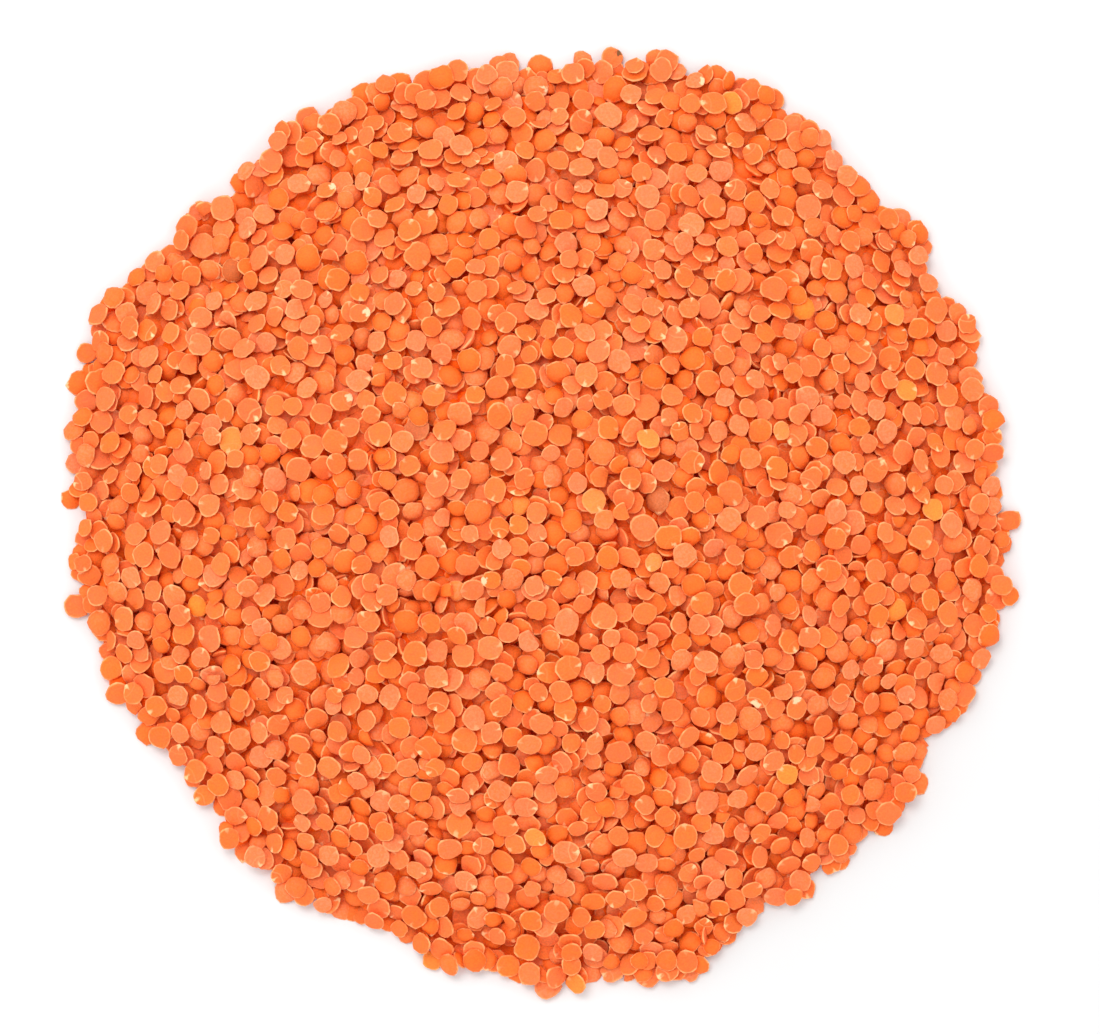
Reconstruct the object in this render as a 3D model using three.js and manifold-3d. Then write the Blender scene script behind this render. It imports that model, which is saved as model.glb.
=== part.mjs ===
// A heap of split red lentils, poured loose onto a flat surface: a low round mound with an uneven foot.
// Its skin is too fine to be built lentil by lentil, so the core carries bumps of about their size, and
// single lentils at their true size are joined on: a row round the foot, then some spread over the top.
// Millimetres, +Z up. The origin is on the surface that the heap lies on, under the middle of its box.
import * as THREE from "three";
import { mergeVertices } from "three/addons/utils/BufferGeometryUtils.js";
import Module from "manifold-3d";

const wasm = await Module();
wasm.setup();

// The heap
const MEAN_RADIUS = 91.5; // of the foot's outline, lentils included
const HEIGHT = 23; // of the mound, without bumps
const DOME_POWER = 2.2; // above 2 the top is flatter and the foot steeper than on a parabola
const FOOT_INSET = 1.6; // from the outline back to the core, which the foot's lentils cover
const SWELL = 0.8; // how far the mound rises and falls slowly from its even dome
const SWELL_LENGTH_X = 107; // from one such rise to the next
const SWELL_LENGTH_Y = 132;

// How the foot departs from a circle: waves round the heap, how far each stands out, and its phase in degrees
const OUTLINE_WAVES = [
  { count: 2, depth: 0.45, phase: -38 },
  { count: 3, depth: 1.72, phase: 143 },
  { count: 4, depth: 0.84, phase: -47 },
  { count: 5, depth: 0.53, phase: -75 },
  { count: 6, depth: 0.57, phase: -51 },
  { count: 8, depth: 0.41, phase: 173 },
  { count: 9, depth: 0.77, phase: -37 },
];

// The core's bumps
const BUMP_SPACING = 5.8; // from one bump's top to the next
const BUMP_RISE = 1.1; // of the highest bump over the mound
const BUMP_FALL = 1.3; // of the deepest gap between bumps under it
const LEAST_SHARE = 0.5; // of that rise and that fall, which every bump and every gap has
const TOP_STRAY = 0.34; // how far a bump's top strays, as a share of the net's spacing
const GAP_STRAY = 0.26; // the same of a gap
const CORE_DEPTH = 12; // of the block that the core is cut from, under its foot

// One lentil, as it varies
const LENTIL_WIDTH = 4.4;
const WIDTH_SPREAD = 0.12; // as a share, to either side
const NARROWEST = 0.9; // of a lentil's width, as a share of its length
const LENTIL_THICKNESS = 1.4;
const RIM_LIFT = 0.1; // of the rim over the middle of the flat side, as a share of the thickness
const SHOULDER_RADIUS = 0.66; // where the dome bends over, as a share of the radius
const SHOULDER_HEIGHT = 0.78; // the same, as a share of the thickness
const LENTIL_SIDES = 7;

// The single lentils
const FOOT_LENTILS = 60;
const FOOT_REACH = 2; // from the outline back to a foot lentil's middle
const FOOT_REACH_SPREAD = 0.9; // in millimetres, to either side
const FOOT_GAP_SPREAD = 0.3; // how far one strays along the foot, as a share of their spacing
const FOOT_CLEARANCE = 0.12; // under a foot lentil's lowest edge
const FOOT_TILT = 13; // largest lean of a foot lentil, in degrees
const TOP_LENTILS = 120;
const TOP_RISE = 0.7; // of a top lentil's flat side over the mound
const TOP_TILT = 24; // largest lean of a top lentil, in degrees
const TOP_MARGIN = 9; // from the outline in to the outermost of them

const GOLDEN_ANGLE = Math.PI * (3 - Math.sqrt(5));
const UP = new THREE.Vector3(0, 0, 1);

// Repeatable draws between 0 and 1
function seededDraws(seed) {
  let state = seed >>> 0;
  return () => {
    state = (state + 0x6d2b79f5) >>> 0;
    let mixed = Math.imul(state ^ (state >>> 15), 1 | state);
    mixed = (mixed + Math.imul(mixed ^ (mixed >>> 7), 61 | mixed)) ^ mixed;
    return ((mixed ^ (mixed >>> 14)) >>> 0) / 2 ** 32;
  };
}

// A draw spread evenly to either side of zero
function eitherSide(draw, reach) {
  return (draw() * 2 - 1) * reach;
}

// How far the heap's outline lies from the middle in one direction
function outlineRadius(angle) {
  return OUTLINE_WAVES.reduce(
    (radius, { count, depth, phase }) =>
      radius + depth * Math.cos(count * angle - THREE.MathUtils.degToRad(phase)),
    MEAN_RADIUS,
  );
}

// The mound's height over the surface, without bumps. It runs on below the surface outside the foot.
function moundHeight(x, y) {
  const share = Math.hypot(x, y) / (outlineRadius(Math.atan2(y, x)) - FOOT_INSET);
  const body = 1 - share ** DOME_POWER;
  const swell = Math.sin((2 * Math.PI * x) / SWELL_LENGTH_X) * Math.cos((2 * Math.PI * y) / SWELL_LENGTH_Y);
  return HEIGHT * body + SWELL * swell * Math.max(body, 0);
}

// The mound's upward normal
function moundNormal(x, y) {
  const step = 1;
  return new THREE.Vector3(
    (moundHeight(x - step, y) - moundHeight(x + step, y)) / (2 * step),
    (moundHeight(x, y - step) - moundHeight(x, y + step)) / (2 * step),
    1,
  ).normalize();
}

// A closed geometry whose corners are each one shared vertex
function shared(geometry) {
  geometry.deleteAttribute("normal");
  geometry.deleteAttribute("uv");
  return mergeVertices(geometry, 1e-4);
}

// A closed geometry as a solid
function solidOf(geometry) {
  const merged = shared(geometry);
  return new wasm.Manifold(
    new wasm.Mesh({
      numProp: 3,
      vertProperties: new Float32Array(merged.attributes.position.array),
      triVerts: new Uint32Array(merged.index.array),
    }),
  );
}

// A solid as a geometry
function geometryOf(solid) {
  const { vertProperties, triVerts } = solid.getMesh();
  const geometry = new THREE.BufferGeometry();
  geometry.setAttribute("position", new THREE.BufferAttribute(vertProperties, 3));
  geometry.setIndex(new THREE.BufferAttribute(triVerts, 1));
  return geometry;
}

// The core: a block whose top is a net of even triangles, raised to the mound with every third vertex
// the top of a bump, and cut off level at the foot
function coreSolid() {
  const draw = seededDraws(11);
  const spacing = BUMP_SPACING / Math.sqrt(3);
  const rowStep = (spacing * Math.sqrt(3)) / 2;
  const cells = 2 * Math.ceil((MEAN_RADIUS + BUMP_SPACING) / rowStep);
  const block = shared(new THREE.BoxGeometry(cells, cells, 1, cells, cells, 1));
  const corners = block.attributes.position;
  for (let i = 0; i < corners.count; i += 1) {
    const column = Math.round(corners.getX(i));
    const row = Math.round(corners.getY(i));
    const isBump = THREE.MathUtils.euclideanModulo(column + row, 3) === 0;
    const stray = (isBump ? TOP_STRAY : GAP_STRAY) * spacing;
    const x = (column - row / 2) * spacing + eitherSide(draw, stray);
    const y = row * rowStep + eitherSide(draw, stray);
    const relief = (isBump ? BUMP_RISE : -BUMP_FALL) * THREE.MathUtils.lerp(LEAST_SHARE, 1, draw());
    const top = Math.max(moundHeight(x, y) + relief, -CORE_DEPTH / 2);
    corners.setXYZ(i, x, y, corners.getZ(i) > 0 ? top : -CORE_DEPTH);
  }
  const ground = new THREE.BoxGeometry(4 * MEAN_RADIUS, 4 * MEAN_RADIUS, 2 * CORE_DEPTH);
  return solidOf(block).subtract(solidOf(ground.translate(0, 0, -CORE_DEPTH)));
}

// One split lentil, lying with its flat side down at z = 0: a domed disc with few sides
function lentilGeometry(draw) {
  const radius = (LENTIL_WIDTH / 2) * (1 + eitherSide(draw, WIDTH_SPREAD));
  const profile = [
    new THREE.Vector2(0, 0),
    new THREE.Vector2(radius, RIM_LIFT * LENTIL_THICKNESS),
    new THREE.Vector2(SHOULDER_RADIUS * radius, SHOULDER_HEIGHT * LENTIL_THICKNESS),
    new THREE.Vector2(0, LENTIL_THICKNESS),
  ];
  return new THREE.LatheGeometry(profile, LENTIL_SIDES)
    .rotateX(Math.PI / 2)
    .rotateZ(draw() * 2 * Math.PI)
    .scale(1, THREE.MathUtils.lerp(NARROWEST, 1, draw()), 1);
}

// Turns a lentil so that it leans by a random angle from a given upward direction
function lean(lentil, upward, largestDegrees, draw) {
  const direction = draw() * 2 * Math.PI;
  const sideways = new THREE.Vector3(Math.cos(direction), Math.sin(direction), 0);
  const angle = THREE.MathUtils.degToRad(largestDegrees) * Math.sqrt(draw());
  const normal = upward.clone().applyAxisAngle(sideways, angle);
  return lentil.applyQuaternion(new THREE.Quaternion().setFromUnitVectors(UP, normal));
}

// The lentils that lie round the foot, partly beyond the core and just over the surface
function footLentils() {
  const draw = seededDraws(23);
  return Array.from({ length: FOOT_LENTILS }, (_, i) => {
    const angle = ((i + eitherSide(draw, FOOT_GAP_SPREAD)) / FOOT_LENTILS) * 2 * Math.PI;
    const radius = outlineRadius(angle) - FOOT_REACH + eitherSide(draw, FOOT_REACH_SPREAD);
    const lentil = lean(lentilGeometry(draw), UP, FOOT_TILT, draw);
    lentil.computeBoundingBox();
    const lift = FOOT_CLEARANCE - lentil.boundingBox.min.z;
    return lentil.translate(radius * Math.cos(angle), radius * Math.sin(angle), lift);
  });
}

// The lentils that lie over the mound, spread evenly by the golden angle
function topLentils() {
  const draw = seededDraws(37);
  return Array.from({ length: TOP_LENTILS }, (_, i) => {
    const radius = (MEAN_RADIUS - TOP_MARGIN) * Math.sqrt((i + 0.5) / TOP_LENTILS);
    const x = radius * Math.cos(i * GOLDEN_ANGLE);
    const y = radius * Math.sin(i * GOLDEN_ANGLE);
    const lentil = lean(lentilGeometry(draw), moundNormal(x, y), TOP_TILT, draw);
    return lentil.translate(x, y, moundHeight(x, y) + TOP_RISE);
  });
}

// The core with the lentils joined on. Only the outer body is kept, so that a sealed gap is filled and
// a loose scrap dropped.
function heapGeometry() {
  const joined = [...footLentils(), ...topLentils()].reduce(
    (solid, lentil) => solid.add(solidOf(lentil)),
    coreSolid(),
  );
  const [outer] = joined.decompose().sort((a, b) => b.volume() - a.volume());
  const geometry = geometryOf(outer);
  geometry.computeBoundingBox();
  const middle = geometry.boundingBox.getCenter(new THREE.Vector3());
  return geometry.translate(-middle.x, -middle.y, 0);
}

const redLentil = new THREE.MeshStandardMaterial({ color: 0xf07b41, roughness: 0.62, metalness: 0 });

const heap = new THREE.Mesh(heapGeometry(), redLentil);
heap.name = "lentil_heap";

const part = new THREE.Group();
part.add(heap);

export default part;
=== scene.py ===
"""A heap of dry split red lentils, poured loose onto a pale table.

Some thousands of separate lentils are dropped onto a low core, layer on layer, and each tips until it rests
on what lies under it. Every lentil is a real mesh at its true size, and each kind of lentil is one piece.
"""

from __future__ import annotations

import logging
import math
from collections import defaultdict
from collections.abc import Sequence
from dataclasses import dataclass, field, fields
from enum import Enum

import bmesh
import bpy
import numpy as np
from mathutils import Matrix, Vector, noise


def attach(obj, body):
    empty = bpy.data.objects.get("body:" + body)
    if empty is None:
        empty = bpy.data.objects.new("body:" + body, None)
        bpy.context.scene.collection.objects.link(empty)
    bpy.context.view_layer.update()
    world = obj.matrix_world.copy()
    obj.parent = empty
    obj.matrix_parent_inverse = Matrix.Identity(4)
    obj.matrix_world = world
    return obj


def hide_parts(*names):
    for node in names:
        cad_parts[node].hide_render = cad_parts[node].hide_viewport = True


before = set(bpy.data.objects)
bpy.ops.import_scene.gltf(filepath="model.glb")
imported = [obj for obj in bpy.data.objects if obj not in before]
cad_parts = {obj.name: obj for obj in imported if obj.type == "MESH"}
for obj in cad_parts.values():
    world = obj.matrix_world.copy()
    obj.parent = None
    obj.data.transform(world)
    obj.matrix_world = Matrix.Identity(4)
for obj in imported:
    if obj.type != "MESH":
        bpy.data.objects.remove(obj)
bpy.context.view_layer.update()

log = logging.getLogger("lentils")

Array = np.ndarray
Colour = tuple[float, float, float]
Span = tuple[float, float]

MM = 0.001  # lengths below are in millimetres, and the meshes in metres
HEAP_NODE = "lentil_heap"
NO_CUT = 9.0  # shares of the radius: a break this far out takes nothing away
CLOSE = 1e-4  # corners of a mesh of unit size that lie this near count as one
TINY = 1e-3  # lengths on a lentil of unit size that are less than this count as none
TONE_NAMES = ("warmth", "shade", "dust", "scar")  # what each lentil's colour is its own by
FIRST_SEED = 41  # of the first kind's tones
SEED_STEP = 7  # from one kind's to the next
LOOKS_APART = 10  # from one form's first uneven outline to the next form's


def linear(red: int, green: int, blue: int) -> Colour:
    """Turns a colour as a screen shows it, 0 to 255, into the linear light that the shader takes.

    Args:
        red: Share of red on the screen.
        green: Share of green on the screen.
        blue: Share of blue on the screen.

    Returns:
        The colour in linear light.
    """
    shown = (red / 255, green / 255, blue / 255)
    return tuple(s / 12.92 if s <= 0.04045 else ((s + 0.055) / 1.055) ** 2.4 for s in shown)


# The heap's form


@dataclass(frozen=True)
class OutlineWave:
    """One wave in the foot's outline: how many go round, how far it stands out, and its phase in degrees."""

    count: int
    depth: float
    phase: float


@dataclass(frozen=True)
class Mound:
    """The heap's form without its lentils, in millimetres from the middle of its foot."""

    mean_radius: float = 91.5
    height: float = 23.0
    dome_power: float = 2.2
    foot_inset: float = 1.6
    swell: float = 0.8
    swell_length_x: float = 107.0
    swell_length_y: float = 132.0
    waves: tuple[OutlineWave, ...] = (
        OutlineWave(2, 0.45, -38),
        OutlineWave(3, 1.72, 143),
        OutlineWave(4, 0.84, -47),
        OutlineWave(5, 0.53, -75),
        OutlineWave(6, 0.57, -51),
        OutlineWave(8, 0.41, 173),
        OutlineWave(9, 0.77, -37),
    )

    def outline(self, angle: Array) -> Array:
        """Gives how far the foot's outline lies from the middle.

        Args:
            angle: Directions, in radians.

        Returns:
            The outline's distance in each direction.
        """
        radius = np.full_like(angle, self.mean_radius)
        for wave in self.waves:
            radius += wave.depth * np.cos(wave.count * angle - math.radians(wave.phase))
        return radius

    def surface(self, x: Array, y: Array) -> Array:
        """Gives the mound's height, which runs on below the table outside the foot.

        Args:
            x: Places along X.
            y: Places along Y.

        Returns:
            The height over the table at each place.
        """
        share = np.hypot(x, y) / (self.outline(np.arctan2(y, x)) - self.foot_inset)
        body = 1 - share**self.dome_power
        swell = np.sin(math.tau * x / self.swell_length_x) * np.cos(math.tau * y / self.swell_length_y)
        return self.height * body + self.swell * swell * np.maximum(body, 0)

    def middle(self) -> Vector:
        """Gives the middle of the outline's box, which is where the frame has its origin."""
        angle = np.linspace(0, math.tau, 720, endpoint=False)
        radius = self.outline(angle)
        x, y = radius * np.cos(angle), radius * np.sin(angle)
        return Vector((x.min() + x.max(), y.min() + y.max(), 0)) / 2


# The lentils, as they come to rest

# Where single lentils stand out from the foot, in millimetres from the frame's origin
FOOT_STRAYS = (
    (-90.5, 4.5),
    (-89.4, -16.1),
    (-88.0, -5.7),
    (-89.9, 15.7),
    (-89.4, 11.3),
    (-87.4, 32.7),
    (-6.0, 88.3),
    (0.0, 88.1),
    (13.9, 89.6),
    (90.4, 0.5),
    (1.5, -89.4),
    (-20.8, -84.4),
)

# Where the yellow ones lie
YELLOW_PLACES = (
    (11.6, 5.9),
    (76.2, 1.1),
    (1.0, -59.9),
    (-3.7, 2.0),
    (37.6, 79.2),
    (-20.8, -84.4),
    (-16.0, -14.4),
    (69.5, -14.6),
    (49.4, -47.8),
    (-24.7, 26.0),
    (-65.3, -13.5),
    (20.9, 16.5),
    (19.8, -7.0),
    (6.9, -86.9),
    (51.8, 39.5),
    (68.7, 38.7),
    (73.9, 25.7),
    (-59.5, 17.6),
    (46.8, 16.1),
)

# Where those with a scrap of pale seed coat left on them lie
PALE_PLACES = (
    (-55.6, -6.4),
    (50.1, -34.0),
    (11.2, 39.6),
    (41.9, -33.7),
    (48.9, 46.6),
    (64.3, -20.7),
    (-38.5, 21.9),
    (-32.7, 38.1),
    (66.0, 35.2),
    (-1.3, 85.6),
    (29.0, 83.8),
    (-12.6, 54.8),
    (-43.3, 64.1),
    (-9.8, -10.7),
)

# Where the one with a dark stain lies, and the dull brownish ones
STAINED_PLACES = ((13.9, 89.6),)
DULL_PLACES = (
    (-22.4, 15.3),
    (24.3, 4.7),
    (-57.9, 47.9),
)


@dataclass(frozen=True)
class Form:
    """A lentil's outline: whole, or with something gone from it.

    A notch and a chip are shares of the radius that the rim is dented by. A notch below zero is a small beak.
    A cut is how far from the middle a straight break runs, across the lentil's own x or y.
    """

    share: float
    notch: float = 0.0
    chip: float = 0.0
    cut_x: float = NO_CUT
    cut_y: float = NO_CUT

    @property
    def is_broken(self) -> bool:
        """Says whether a piece of the lentil has broken off."""
        return min(self.cut_x, self.cut_y) < NO_CUT


FORMS = (
    Form(share=0.5),
    Form(share=0.12, notch=-0.09),
    Form(share=0.22, notch=0.12),
    Form(share=0.12, chip=0.14),
    Form(share=0.018, cut_x=0.5),
    Form(share=0.014, cut_x=0.06),
    Form(share=0.008, cut_x=0.3, cut_y=0.12),
)


def dome(share: Array) -> Array:
    """Gives the height of a lentil's round side over its flat side.

    Args:
        share: Distance from the middle, as a share of the radius.

    Returns:
        The height, as a share of the thickness.
    """
    return 0.55 * np.sqrt(np.clip(1 - share**2, 0, 1)) + 0.45 * np.clip(1 - share**2.6, 0, 1)


def disc_points(inside: int, on_rim: int) -> Array:
    """Spreads points over a disc of radius 1, by the golden angle, and round its rim.

    Args:
        inside: How many points to spread over the disc.
        on_rim: How many points to set round the rim.

    Returns:
        The x and y of each point.
    """
    turn = np.arange(inside) * math.pi * (3 - math.sqrt(5))
    radius = np.sqrt((np.arange(inside) + 0.5) / inside)
    turn = np.concatenate([turn, np.arange(on_rim) * math.tau / on_rim])
    radius = np.concatenate([radius, np.ones(on_rim)])
    return np.column_stack([radius * np.cos(turn), radius * np.sin(turn)])


def headed(angle: Array) -> Array:
    """Gives the unit vector of each direction, which is in radians."""
    return np.column_stack([np.cos(angle), np.sin(angle)])


def on_round_side(points: Array) -> Array:
    """Takes points of a disc down to the round side of a lentil of radius 1 and thickness 1."""
    return np.column_stack([points, -dome(np.hypot(*points.T))])


def on_flat_side(points: Array) -> Array:
    """Takes points of a disc onto the flat side of a lentil, at z = 0."""
    return np.column_stack([points, np.zeros(len(points))])


@dataclass
class Lentils:
    """Many lentils, with one entry for each in every array. Lengths are in millimetres.

    The place is the middle of the flat side, and the slope is that side's rise along X and along Y.
    """

    place: Array
    z: Array
    slope: Array
    spin: Array
    radius: Array
    narrow: Array
    thickness: Array
    flat_up: Array
    leaning: Array
    form: Array

    def __len__(self) -> int:
        """Counts the lentils."""
        return len(self.z)

    def take(self, rows: Array) -> Lentils:
        """Gives the lentils of the given rows."""
        return Lentils(**{f.name: getattr(self, f.name)[rows] for f in fields(self)})

    @staticmethod
    def joined(parts: Sequence[Lentils]) -> Lentils:
        """Puts several batches of lentils together, in order."""
        names = [f.name for f in fields(Lentils)]
        return Lentils(**{name: np.concatenate([getattr(part, name) for part in parts]) for name in names})

    def frames(self) -> Array:
        """Gives the matrix that takes a lentil of unit size, its flat side up, to its real size and turn."""
        up = np.column_stack([-self.slope, np.ones(len(self))])
        up /= np.linalg.norm(up, axis=1, keepdims=True)
        first = np.column_stack([up[:, 2], np.zeros(len(self)), -up[:, 0]])
        first /= np.linalg.norm(first, axis=1, keepdims=True)
        second = np.cross(up, first)
        cos, sin = np.cos(self.spin)[:, None], np.sin(self.spin)[:, None]
        side = np.where(self.flat_up, 1.0, -1.0)[:, None]
        own_x = (first * cos + second * sin) * self.radius[:, None]
        own_y = (second * cos - first * sin) * side * (self.radius * self.narrow)[:, None]
        own_z = up * side * self.thickness[:, None]
        return np.stack([own_x, own_y, own_z], axis=2)

    def has(self, points: Array) -> Array:
        """Says which points of a unit lentil each lentil has, and which have broken off.

        Args:
            points: Points of the unit lentil, one set for each lentil.

        Returns:
            For each lentil and point, whether the lentil has it.
        """
        cut_x = np.array([form.cut_x for form in FORMS])[self.form][:, None]
        cut_y = np.array([form.cut_y for form in FORMS])[self.form][:, None]
        return (points[..., 0] < cut_x) & (points[..., 1] < cut_y)


AROUND_CELLS = 9  # that the next function adds up at each place


def around(grid: Array) -> Array:
    """Gives at each place of a grid the sum of its own value and its eight neighbours'."""
    return sum(np.roll(grid, (i, j), axis=(0, 1)) for i in (-1, 0, 1) for j in (-1, 0, 1))


@dataclass
class Pour:
    """Drops lentils onto the core round by round and lets each come to rest.

    What has been reached so far is a grid of heights. A lentil tips away from the point that it bears on
    until it bears on several. It stays if it fits under the mound's surface. Gaps that still run deep are
    filled from below at the end, and bare table inside the foot is covered.
    """

    mound: Mound
    seed: int = 5
    cell: float = 0.2
    half_width: float = 98.0
    bed_depth: float = 5.0
    spread_rounds: int = 18
    hollow_rounds: int = 80
    foot_rounds: int = 60
    bare_rounds: int = 12
    gap_rounds: int = 36
    square: int = 7
    shallowest: float = 0.5
    deep_gap: float = 2.0
    least_bare: float = 0.05
    tried_cost: float = 0.2
    spacing: float = 6.8
    jitter: float = 0.4
    shuffle: float = 1.1
    foot_shuffle: float = 0.35
    tries: int = 6
    mean_radius: float = 2.25
    radius_spread: float = 0.1
    foot_margin: float = 0.3
    ragged_points: int = 110
    ragged_depth: float = 5.4
    flat_up_share: float = 0.57
    leaning_share: float = 0.13
    steepest_rest: float = 0.85
    steep_cost: float = 0.8
    foot_level: float = 2.8
    foot_allowance: float = 2.0
    proudest: float = 2.2
    usual_rise: float = 0.35
    rise_spread: float = 0.5
    foot_slack: float = 0.2
    small: float = 0.84
    clearance: float = 0.05
    width_limits: Span = (0.78, 1.2)
    narrowness: Span = (0.91, 1.0)
    thickness: Span = (0.5, 0.66)
    leaning_slopes: Span = (1.2, 3.5)
    slipped_slope: float = 0.9
    slipped_depths: Span = (0.1, 1.1)
    skin_stride: int = 12
    rng: np.random.Generator = field(init=False)
    ragged: Array = field(init=False)
    in_foot: Array = field(init=False)
    level: Array = field(init=False)
    height: Array = field(init=False)
    owner: Array = field(init=False)
    tried: Array = field(init=False)
    flat_points: Array = field(init=False)
    round_points: Array = field(init=False)
    skin: Array = field(init=False)
    layers: list[Lentils] = field(init=False, default_factory=list)

    def __post_init__(self) -> None:
        """Lays the grid of heights over the core, and spreads the points that a lentil is felt by."""
        self.rng = np.random.default_rng(self.seed)
        count = 2 * round(self.half_width / self.cell) + 1
        line = (np.arange(count) - count // 2) * self.cell
        x, y = np.meshgrid(line, line)
        surface = self.mound.surface(x, y)
        self.ragged = self.rng.random(self.ragged_points)
        self.in_foot = self.depth_inside(np.stack([x, y], axis=2)) > 0
        self.level = np.where(self.in_foot, np.maximum(surface, self.foot_level), 0)
        self.height = np.maximum(surface - self.bed_depth, 0)
        self.owner = np.full((count, count), -1)
        self.tried = 0 * self.coarse(self.height)
        few = disc_points(inside=66, on_rim=26)
        self.flat_points = on_flat_side(few)
        self.round_points = on_round_side(few)
        many = disc_points(inside=820, on_rim=90)
        self.skin = np.concatenate([on_round_side(many), on_flat_side(many)])

    def cells(self, places: Array) -> tuple[Array, Array]:
        """Gives the row and column of the grid at each place."""
        last = len(self.height) - 1
        steps = np.rint(places / self.cell).astype(int) + last // 2
        steps = np.clip(steps, 0, last)
        return steps[..., 1], steps[..., 0]

    def ragged_line(self, angle: Array) -> Array:
        """Gives how far out the middles of the outermost lentils may lie, in each direction."""
        turn = angle / math.tau * self.ragged_points
        back = np.interp(turn, np.arange(self.ragged_points), self.ragged, period=self.ragged_points)
        return self.mound.outline(angle) - self.foot_margin - self.ragged_depth * back

    def depth_inside(self, place: Array) -> Array:
        """Gives how far places lie inside the ragged line."""
        x, y = place[..., 0], place[..., 1]
        return self.ragged_line(np.arctan2(y, x)) - np.hypot(x, y)

    def level_at(self, place: Array) -> Array:
        """Gives the height up to which the heap is filled at each place, a low step right round its foot."""
        return np.maximum(self.mound.surface(*place.T), self.foot_level)

    def fall_at(self, place: Array, step: float = 0.5) -> Array:
        """Gives how that level rises along X and along Y at each place.

        Args:
            place: The x and y of each place.
            step: How far to either side it is looked at.

        Returns:
            The two slopes of each place.
        """
        ahead = [self.level_at(place + offset) for offset in ((step, 0), (0, step))]
        behind = [self.level_at(place - offset) for offset in ((step, 0), (0, step))]
        return np.column_stack([a - b for a, b in zip(ahead, behind)]) / (2 * step)

    def spread_places(self) -> Array:
        """Spreads places over the whole foot, on a net that is turned and shifted at random."""
        rng = self.rng
        reach = math.ceil(1.2 * self.half_width / self.spacing)
        i, j = (g.ravel() for g in np.meshgrid(np.arange(-reach, reach), np.arange(-reach, reach)))
        net = np.column_stack([i + 0.5 * (j % 2), j * math.sqrt(0.75)]) * self.spacing
        turn = rng.uniform(0, math.pi)
        rotation = np.array([[math.cos(turn), -math.sin(turn)], [math.sin(turn), math.cos(turn)]])
        place = net @ rotation.T + rng.uniform(-self.spacing, self.spacing, 2)
        return place + rng.uniform(-self.jitter, self.jitter, place.shape)

    def coarse(self, grid: Array) -> Array:
        """Averages a grid over squares of one millimetre."""
        fine = round(1 / self.cell)
        count = len(self.height) // fine
        return grid[: count * fine, : count * fine].reshape(count, fine, count, fine).mean(axis=(1, 3))

    def bare(self) -> Array:
        """Gives the share of each millimetre of the foot where the table still shows."""
        return self.coarse(self.in_foot & (self.height <= 0))

    def gap(self) -> Array:
        """Gives how far each millimetre of the heap still lies under its level."""
        return self.coarse(self.level - self.height)

    def worst_places(self, worth: Array, least: float) -> Array:
        """Finds the place that most needs a lentil in every other square of the foot, each way.

        Args:
            worth: How much each millimetre of the foot needs one. It sinks where one is now tried.
            least: How great the need has to be.

        Returns:
            The x and y of each such place.
        """
        count = len(worth)
        side = self.square
        squares = count // side
        shift = self.rng.integers(0, side, 2)
        parity = self.rng.integers(0, 2, 2)
        moved = np.roll(worth, -shift, axis=(0, 1))[: squares * side, : squares * side]
        moved = moved.reshape(squares, side, squares, side)[parity[0] :: 2, :, parity[1] :: 2]
        rows, columns = moved.shape[0], moved.shape[2]
        greatest = moved.transpose(0, 2, 1, 3).reshape(rows, columns, side * side)
        at = greatest.argmax(axis=2)
        row = (2 * np.arange(rows)[:, None] + parity[0]) * side + at // side + shift[0]
        column = (2 * np.arange(columns)[None, :] + parity[1]) * side + at % side + shift[1]
        is_great = greatest.max(axis=2).ravel() > least
        place = np.stack(np.broadcast_arrays(column % count, row % count), axis=2).reshape(-1, 2)[is_great]
        tried = np.zeros((count, count))
        tried[place[:, 1], place[:, 0]] = self.tried_cost
        self.tried += around(tried)
        return place + 0.5 - count / 2 + self.rng.uniform(-self.jitter, self.jitter, place.shape)

    def drop(self, place: Array) -> Lentils:
        """Draws a lentil over each place.

        Args:
            place: The x and y of each place.

        Returns:
            The lentils, not yet set down.
        """
        rng = self.rng
        n = len(place)
        radius = self.mean_radius * np.clip(rng.normal(1, self.radius_spread, n), *self.width_limits)
        leaning = rng.random(n) < self.leaning_share
        steep = rng.uniform(*self.leaning_slopes, n)
        slope = headed(rng.uniform(0, math.tau, n)) * np.where(leaning, steep, 0)[:, None]
        slope += np.where(leaning[:, None], 0, self.fall_at(place))
        return Lentils(
            place=place,
            z=np.zeros(n),
            slope=slope,
            spin=rng.uniform(0, math.tau, n),
            radius=radius,
            narrow=rng.uniform(*self.narrowness, n),
            thickness=radius * rng.uniform(*self.thickness, n),
            flat_up=rng.random(n) < self.flat_up_share,
            leaning=leaning,
            form=rng.choice(len(FORMS), n, p=[form.share for form in FORMS]),
        )

    def settle(
        self, lentils: Lentils, steps: int, stride: float, decay: float = 0.88, refresh: int = 6
    ) -> None:
        """Tips each lentil bit by bit away from the point that it bears on, then sets it down.

        Args:
            lentils: The lentils, which are changed.
            steps: How often each one tips.
            stride: How far it tips at first, as a slope.
            decay: What each tip is of the one before.
            refresh: After how many tips its under side is worked out again.
        """
        unit = np.where(lentils.flat_up[:, None, None], self.round_points, self.flat_points)
        has = lentils.has(unit)
        rows = np.arange(len(lentils))
        for step in range(steps + 1):
            if step % refresh == 0 or step == steps:
                points = unit @ lentils.frames().transpose(0, 2, 1)
                under = self.height[self.cells(lentils.place[:, None] + points[..., :2])]
                gap = np.where(has, under - points[..., 2], -np.inf)
                start = lentils.slope.copy()
            if step == steps:
                break
            tipped = ((lentils.slope - start)[:, None] * points[..., :2]).sum(axis=2)
            bearing = points[rows, (gap - tipped).argmax(axis=1), :2]
            tip = stride * decay**step * bearing / lentils.radius[:, None]
            lentils.slope += np.where(lentils.leaning[:, None], 0, tip)
        lentils.z = gap.max(axis=1)

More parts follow.
